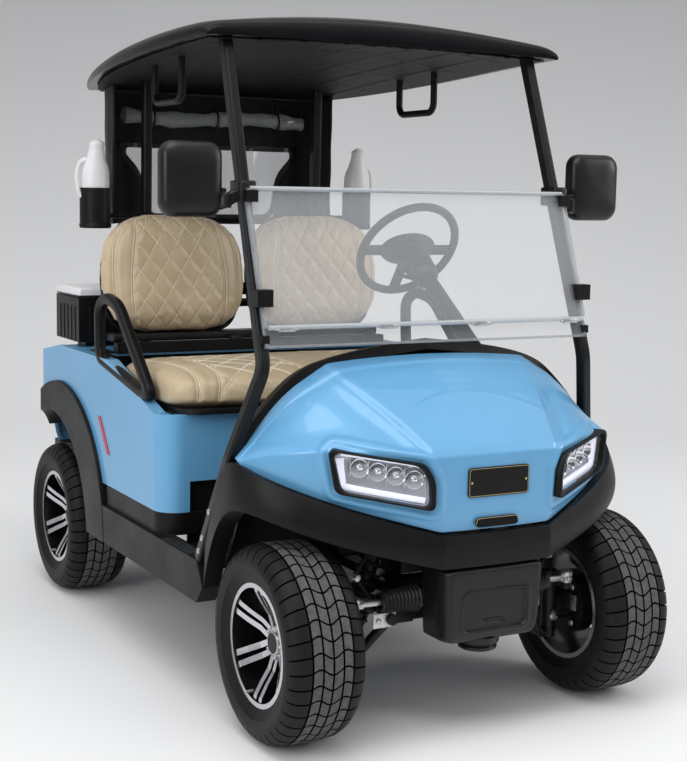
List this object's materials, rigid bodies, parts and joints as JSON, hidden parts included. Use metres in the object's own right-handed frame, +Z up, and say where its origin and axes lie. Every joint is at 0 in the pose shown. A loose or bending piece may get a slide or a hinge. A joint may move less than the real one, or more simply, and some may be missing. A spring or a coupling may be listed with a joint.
{
  "type": "two-seat golf cart with roof, fold-down windshield and rear bag deck",
  "caption": "Open golf cart: bench seat, roof on slim struts, fold-down windshield, hollow cab and rear bag well.",
  "frame": {"origin": "on the ground under the middle of the cart's box", "axes": "+Z up, -Y forward, +X to the driver's side (the driver's left)"},
  "size_m": [1.466, 2.3059, 1.9221],
  "materials": {
    "body_paint": "gloss",
    "black_plastic": "textured matte",
    "roof_plastic": "gloss",
    "seat_vinyl": "stitched vinyl",
    "tyre_rubber": "matte",
    "alloy": "machined face, black windows",
    "frame_paint": "satin",
    "steel": "satin",
    "clear_sheet": "clear",
    "lamp_lens": "clear",
    "plate_black": "gloss",
    "red_lens": "gloss",
    "white_plastic": "gloss",
    "black_fabric": "woven"
  },
  "bodies": {
    "chassis": {"bag_rack": "frame_paint", "bag_well": "black_plastic", "battery_pack": "black_plastic", "bottle_holders": "black_plastic", "bumper_band": "black_plastic", "bumper_block": "black_plastic", "cooler_box": "black_plastic", "cup_holders": "black_plastic", "dash": "black_plastic", "drive_motor": "frame_paint", "floor_pan": "black_plastic", "frame_rails": "frame_paint", "front_cowl": "body_paint", "front_struts": "frame_paint", "front_suspension": "frame_paint", "headlamp_bezels": "plate_black", "headlamp_lenses": "lamp_lens", "hip_restraints": "black_plastic", "mirrors": "black_plastic", "number_plate": "plate_black", "pedals": "frame_paint", "rear_axle": "frame_paint", "rear_body": "body_paint", "rear_bumper": "black_plastic", "rear_cover": "black_fabric", "rear_flares": "black_plastic", "rear_springs": "frame_paint", "rear_struts": "frame_paint", "rocker_panels": "black_plastic", "roof": "roof_plastic", "roof_handles": "black_plastic", "sand_bottles": "white_plastic", "seat_back_left": "seat_vinyl", "seat_back_right": "seat_vinyl", "seat_deck": "black_plastic", "seat_frame": "black_plastic", "side_reflectors": "red_lens", "steering_column": "black_plastic", "steering_rack": "frame_paint", "tail_lamps": "red_lens", "windshield_clips": "black_plastic", "windshield_lower": "clear_sheet", "windshield_upper": "clear_sheet"},
    "wheel_front_right": {"tyre_front_right": "tyre_rubber", "rim_front_right": "alloy"},
    "wheel_front_left": {"tyre_front_left": "tyre_rubber", "rim_front_left": "alloy"},
    "wheel_rear_right": {"tyre_rear_right": "tyre_rubber", "rim_rear_right": "alloy"},
    "wheel_rear_left": {"tyre_rear_left": "tyre_rubber", "rim_rear_left": "alloy"},
    "upright_right": {"knuckle_right": "steel"},
    "upright_left": {"knuckle_left": "steel"},
    "tie_rod_bar": {"tie_rods": "steel"},
    "steering": {"steering_wheel": "black_plastic"},
    "seat": {"seat_cushion": "seat_vinyl", "seat_base": "black_plastic"},
    "lid": {"cooler_lid": "white_plastic"}
  },
  "joints": [
    {"name": "steer_right", "type": "hinge", "parent": "chassis", "child": "upright_right", "pos_m": [-0.35, -0.893, 0.26], "axis": [0, 0, 1], "range_deg": [-25, 25]},
    {"name": "steer_left", "type": "hinge", "parent": "chassis", "child": "upright_left", "pos_m": [0.35, -0.893, 0.26], "axis": [0, 0, 1], "range_deg": [-25, 25]},
    {"name": "roll_front_right", "type": "hinge", "parent": "upright_right", "child": "wheel_front_right", "pos_m": [-0.481, -0.893, 0.26], "axis": [1, 0, 0], "continuous": true},
    {"name": "roll_rear_right", "type": "hinge", "parent": "chassis", "child": "wheel_rear_right", "pos_m": [-0.49, 0.773, 0.26], "axis": [1, 0, 0], "continuous": true},
    {"name": "roll_front_left", "type": "hinge", "parent": "upright_left", "child": "wheel_front_left", "pos_m": [0.481, -0.893, 0.26], "axis": [1, 0, 0], "continuous": true},
    {"name": "roll_rear_left", "type": "hinge", "parent": "chassis", "child": "wheel_rear_left", "pos_m": [0.49, 0.773, 0.26], "axis": [1, 0, 0], "continuous": true},
    {"name": "steering_turn", "type": "hinge", "parent": "chassis", "child": "steering", "pos_m": [0.28, -0.185, 1.24], "axis": [0, 0.8192, 0.5736], "range_deg": [-301, 301]},
    {"name": "tie_rod_slide", "type": "slide", "parent": "chassis", "child": "tie_rod_bar", "axis": [1, 0, 0], "range_m": [-0.042, 0.042]},
    {"name": "seat_lift", "type": "hinge", "parent": "chassis", "child": "seat", "pos_m": [0, -0.295, 0.768], "axis": [1, 0, 0], "range_deg": [0, 32]},
    {"name": "cooler_lid_lift", "type": "hinge", "parent": "chassis", "child": "lid", "pos_m": [-0.345, 0.71, 1.0476], "axis": [0, 1, 0], "range_deg": [0, 80]}
  ],
  "couplings": [
    {"joint": "steer_left", "follows": "steer_right", "ratio": 1},
    {"joint": "tie_rod_slide", "follows": "steer_right", "m_per_rad": 0.095},
    {"joint": "steering_turn", "follows": "steer_right", "ratio": 12}
  ]
}
